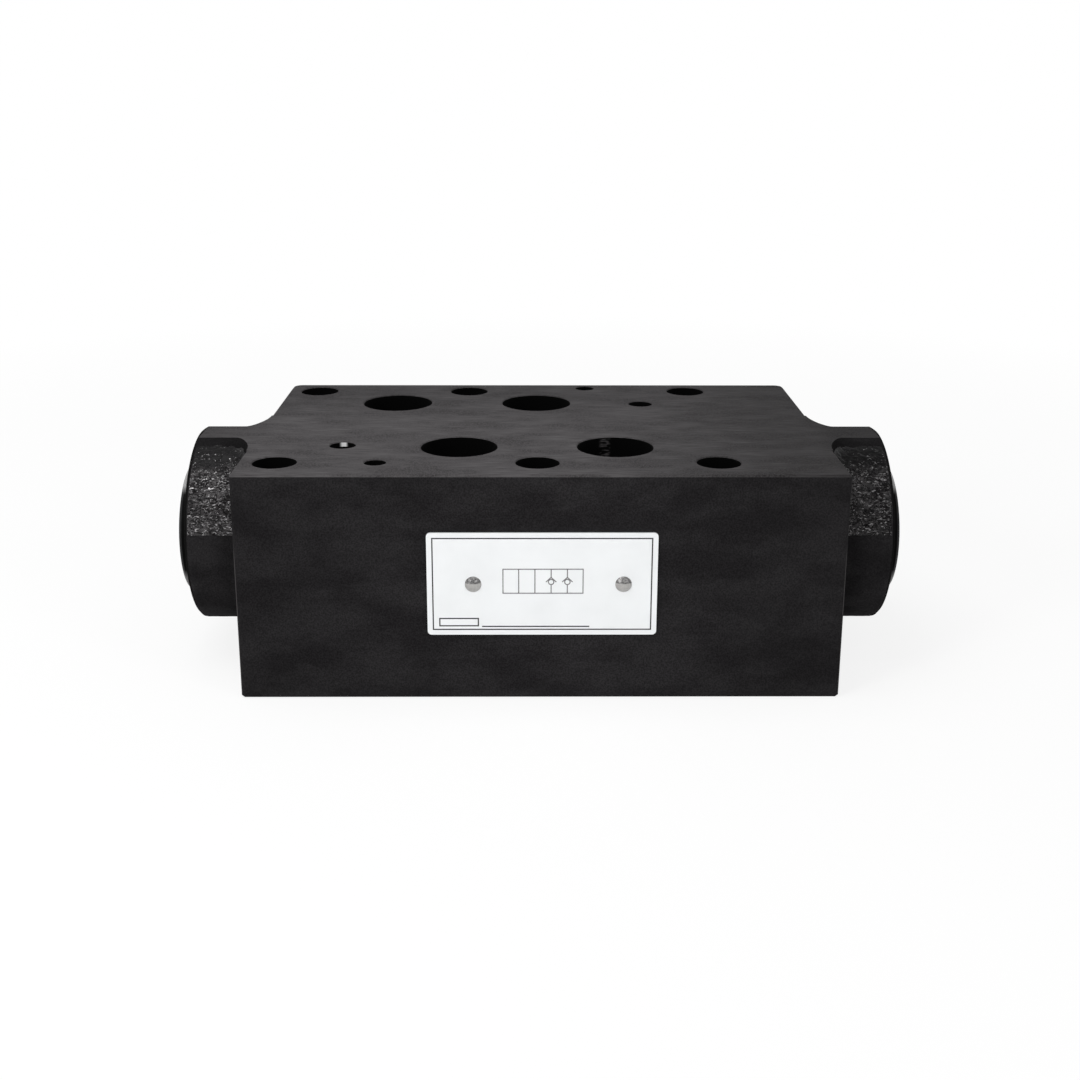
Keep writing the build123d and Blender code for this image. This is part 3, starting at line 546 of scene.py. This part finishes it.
def cast_skin(side, name, materials):
    """The sand-cast skin of one boss: its root curve and barrel, spun round the boss's axis, cut below the top
    face and raised into wrinkles that fade out at all its edges."""
    mesh = bmesh.new()
    barrel_start = block_half_length + boss_root
    barrel_end = boss_end - boss_rim
    start = mesh.verts.new((side * barrel_start, 0, boss_radius))
    bmesh.ops.spin(mesh, geom=[start], cent=(side * barrel_start, 0, boss_radius + boss_root), axis=(0, side, 0),
                   dvec=(0, 0, 0), angle=math.pi / 2, steps=round(boss_root * math.pi / 2 / skin_cell))
    ends = [mesh.verts.new((side * x, 0, boss_radius)) for x in (barrel_start, barrel_end)]
    bmesh.ops.subdivide_edges(mesh, edges=[mesh.edges.new(ends)],
                              cuts=round((barrel_end - barrel_start) / skin_cell))
    bmesh.ops.remove_doubles(mesh, verts=mesh.verts[:], dist=0.01 * MM)
    bmesh.ops.spin(mesh, geom=mesh.verts[:] + mesh.edges[:], cent=(0, 0, 0), axis=(1, 0, 0), dvec=(0, 0, 0),
                   angle=2 * math.pi, steps=round(2 * math.pi * boss_radius / skin_cell), use_merge=True)
    bmesh.ops.remove_doubles(mesh, verts=mesh.verts[:], dist=0.01 * MM)
    bmesh.ops.translate(mesh, verts=mesh.verts[:], vec=(0, bore_y, boss_z))
    everything = mesh.verts[:] + mesh.edges[:] + mesh.faces[:]
    bmesh.ops.bisect_plane(mesh, geom=everything, plane_co=(0, 0, block_top - 0.4 * MM), plane_no=(0, 0, 1),
                           clear_outer=True)
    bmesh.ops.recalc_face_normals(mesh, faces=mesh.faces[:])
    lowest = min(mesh.verts, key=lambda vert: vert.co.z)
    if lowest.normal.z > 0:
        bmesh.ops.reverse_faces(mesh, faces=mesh.faces[:])
    mesh.normal_update()
    lifts = {}
    for vert in mesh.verts:
        out = abs(vert.co.x)
        shown = ramp(out, block_half_length, block_half_length + 2.5 * MM)
        shown *= ramp(out, barrel_end, barrel_end - 0.7 * MM)
        shown *= ramp(vert.co.z, rough_ends, rough_ends - 3 * MM)
        rough = 0.15 + 0.85 * ramp(vert.co.z, rough_above - 0.4 * MM, rough_above + 0.4 * MM)
        lifts[vert] = shown * (skin_tuck + skin_rest + skin_relief * rough * wrinkle(vert.co)) - skin_tuck
    for vert, lift in lifts.items():
        vert.co += vert.normal * lift
    for face in mesh.faces:
        face.smooth = True
        middle = face.calc_center_median()
        # Faces above rough_above, on each boss's upper face, take the skin finish with its painted light; the rest
        # keep the block's iron
        face.material_index = int(middle.z > rough_above and abs(middle.x) < barrel_end - 0.4 * MM)
    settle(mesh, name, materials)


def ink_rectangle(mesh, middle, size, line):
    """Adds the outline of a printed rectangle to a mesh, flat in X and Z."""
    half_x, half_z = size[0] / 2, size[1] / 2
    corners = [(-half_x, -half_z), (half_x, -half_z), (half_x, half_z), (-half_x, half_z)]
    face = mesh.faces.new([mesh.verts.new((middle[0] + x, 0, middle[1] + z)) for x, z in corners])
    mesh.normal_update()
    bmesh.ops.inset_region(mesh, faces=[face], thickness=line, use_even_offset=True, use_boundary=True)
    bmesh.ops.delete(mesh, geom=[face], context="FACES_ONLY")


def ink_bar(mesh, start, end, line):
    """Adds a straight printed line to a mesh, flat in X and Z."""
    run = Vector((end[0] - start[0], 0, end[1] - start[1]))
    side = Vector((-run.z, 0, run.x)).normalized() * line / 2
    a, b = Vector((start[0], 0, start[1])), Vector((end[0], 0, end[1]))
    mesh.faces.new([mesh.verts.new(p) for p in (a - side, b - side, b + side, a + side)])


def ink_ring(mesh, middle, radius, line):
    """Adds a small printed circle to a mesh, flat in X and Z."""
    place = Matrix.Translation((middle[0], 0, middle[1])) @ Matrix.Rotation(math.pi / 2, 4, "X")
    made = bmesh.ops.create_circle(mesh, cap_ends=True, radius=radius, segments=24, matrix=place)
    face = made["verts"][0].link_faces[0]
    mesh.normal_update()
    bmesh.ops.inset_region(mesh, faces=[face], thickness=line, use_even_offset=True, use_boundary=True)
    bmesh.ops.delete(mesh, geom=[face], context="FACES_ONLY")


def lay_print(mesh, name, ink):
    """Gives flat printed shapes their thickness and lays them on the nameplate."""
    faces = mesh.faces[:]
    bmesh.ops.recalc_face_normals(mesh, faces=faces)
    raised = bmesh.ops.extrude_face_region(mesh, geom=faces)
    verts = [v for v in raised["geom"] if isinstance(v, bmesh.types.BMVert)]
    bmesh.ops.translate(mesh, verts=verts, vec=(0, -ink_thickness, 0))
    bmesh.ops.recalc_face_normals(mesh, faces=mesh.faces[:])
    bmesh.ops.scale(mesh, vec=(MM, MM, MM), verts=mesh.verts[:])
    bmesh.ops.translate(mesh, verts=mesh.verts[:], vec=(plate_middle.x, plate_face, plate_middle.z))
    settle(mesh, name, [ink])


def nameplate_border():
    """The printed border line, with a blank field and a rule for a number that is left bare."""
    mesh = bmesh.new()
    width = (plate_high.x - plate_low.x) / MM
    height = (plate_high.z - plate_low.z) / MM
    ink_rectangle(mesh, (0, 0), (width - 2 * border_inset, height - 2 * border_inset), border_line)
    ink_rectangle(mesh, field_middle, field_size, border_line)
    ink_bar(mesh, (rule_ends[0], rule_height), (rule_ends[1], rule_height), border_line)
    lay_print(mesh, "nameplate_border", printing_ink("black_screen_ink", "#232022", "#3A3638"))


def nameplate_symbol():
    """The graphic symbol of the valve: a box with four lines, of which two have a check valve."""
    mesh = bmesh.new()
    ink_rectangle(mesh, symbol_middle, symbol_size, symbol_line)
    left = symbol_middle[0] - symbol_size[0] / 2
    bottom = symbol_middle[1] - symbol_size[1] / 2
    top = symbol_middle[1] + symbol_size[1] / 2
    step = symbol_size[0] / symbol_columns
    radius = step / 5
    ball = symbol_middle[1] - radius / 4
    seat = ball + 1.5 * radius
    for column in range(1, symbol_columns):
        x = left + column * step
        if column <= 2:
            ink_bar(mesh, (x, bottom), (x, top), symbol_line)
            continue
        ink_bar(mesh, (x, bottom), (x, ball - radius), symbol_line)
        ink_ring(mesh, (x, ball), radius, symbol_line)
        ink_bar(mesh, (x, seat), (x, top), symbol_line)
        for side in (-1, 1):
            ink_bar(mesh, (x, seat), (x + 1.6 * side * radius, ball), symbol_line)
    lay_print(mesh, "nameplate_symbol", printing_ink("grey_screen_ink", "#6E6C6D", "#8E8C8D"))


def studio():
    """A white floor that keeps a faint shadow near the block, a white room and two soft lamps in front."""
    scene = bpy.context.scene
    scene.view_settings.view_transform = "Standard"
    world = bpy.data.worlds.new("white_room")
    scene.world = world
    world.use_nodes = True
    tree = world.node_tree
    tree.nodes.clear()
    rays = add(tree, "LightPath")
    seen = add(tree, "Math", {0: rays.outputs["Is Camera Ray"], 1: rays.outputs["Is Glossy Ray"]}, operation="ADD")
    seen = add(tree, "Math", {0: seen, 1: rays.outputs["Is Transmission Ray"]}, operation="ADD", use_clamp=True)
    strength = add(tree, "MapRange", {0: seen, 3: room_light, 4: 1.0})
    white = add(tree, "Background", {"Color": (1, 1, 1, 1), "Strength": strength})
    add(tree, "OutputWorld", {"Surface": white})

    sheet = bmesh.new()
    bmesh.ops.create_grid(sheet, x_segments=1, y_segments=1, size=floor_size)
    data = bpy.data.meshes.new("floor")
    sheet.to_mesh(data)
    sheet.free()
    floor = bpy.data.objects.new("floor", data)
    scene.collection.objects.link(floor)
    material, tree = start_finish("white_floor")
    rays = add(tree, "LightPath")
    seen = add(tree, "Math", {0: rays.outputs["Is Camera Ray"], 1: rays.outputs["Is Glossy Ray"]}, operation="ADD")
    seen = add(tree, "Math", {0: seen, 1: rays.outputs["Is Transmission Ray"]}, operation="ADD", use_clamp=True)
    away = add(tree, "VectorMath", {0: add(tree, "TexCoord").outputs["Object"]}, operation="LENGTH")
    share = add(tree, "MapRange", {0: away.outputs["Value"], 1: shadow_reach / 3, 2: shadow_reach,
                                   3: 1 - shadow_share, 4: 1.0})
    share = add(tree, "Math", {0: share, 1: seen}, operation="MULTIPLY")
    matt = add(tree, "BsdfDiffuse", {"Color": (0.93, 0.93, 0.93, 1)})
    lit = add(tree, "Emission", {"Color": (1, 1, 1, 1), "Strength": 1.0})
    mix = add(tree, "MixShader", {0: share, 1: matt, 2: lit})
    add(tree, "OutputMaterial", {"Surface": mix})
    data.materials.append(material)

    for name, (place, size, power) in lamps.items():
        light = bpy.data.lights.new(name, "AREA")
        light.size = size
        light.energy = power
        lamp = bpy.data.objects.new(name, light)
        lamp.location = place
        lamp.rotation_euler = (Vector((0, 0, 0.03)) - Vector(place)).to_track_quat("-Z", "Y").to_euler()
        scene.collection.objects.link(lamp)


def make_camera():
    """The camera at the photograph's place and angle. The shift keeps the upright edges as seen there."""
    data = bpy.data.cameras.new("camera")
    data.sensor_width = sensor_mm
    data.lens = focal_pixels / picture_pixels * sensor_mm
    data.shift_y = (optical_row - picture_pixels / 2) / picture_pixels
    camera = bpy.data.objects.new("camera", data)
    bpy.context.scene.collection.objects.link(camera)
    turn = Matrix.Rotation(math.radians(camera_yaw), 4, "Z")
    tilt = Matrix.Rotation(math.radians(90 - camera_pitch), 4, "X")
    roll = Matrix.Rotation(math.radians(camera_roll), 4, "Z")
    camera.matrix_world = Matrix.Translation(camera_place) @ turn @ tilt @ roll
    bpy.context.scene.camera = camera


make_camera()
studio()
finish_nodes()
squash_springs()
skin_irons = [frame["nodes"]["valve_body"].material_slots[0].material, sand_cast_skin()]
cast_skin(-1, "cast_skin_left", skin_irons)
cast_skin(1, "cast_skin_right", skin_irons)
nameplate_border()
nameplate_symbol()
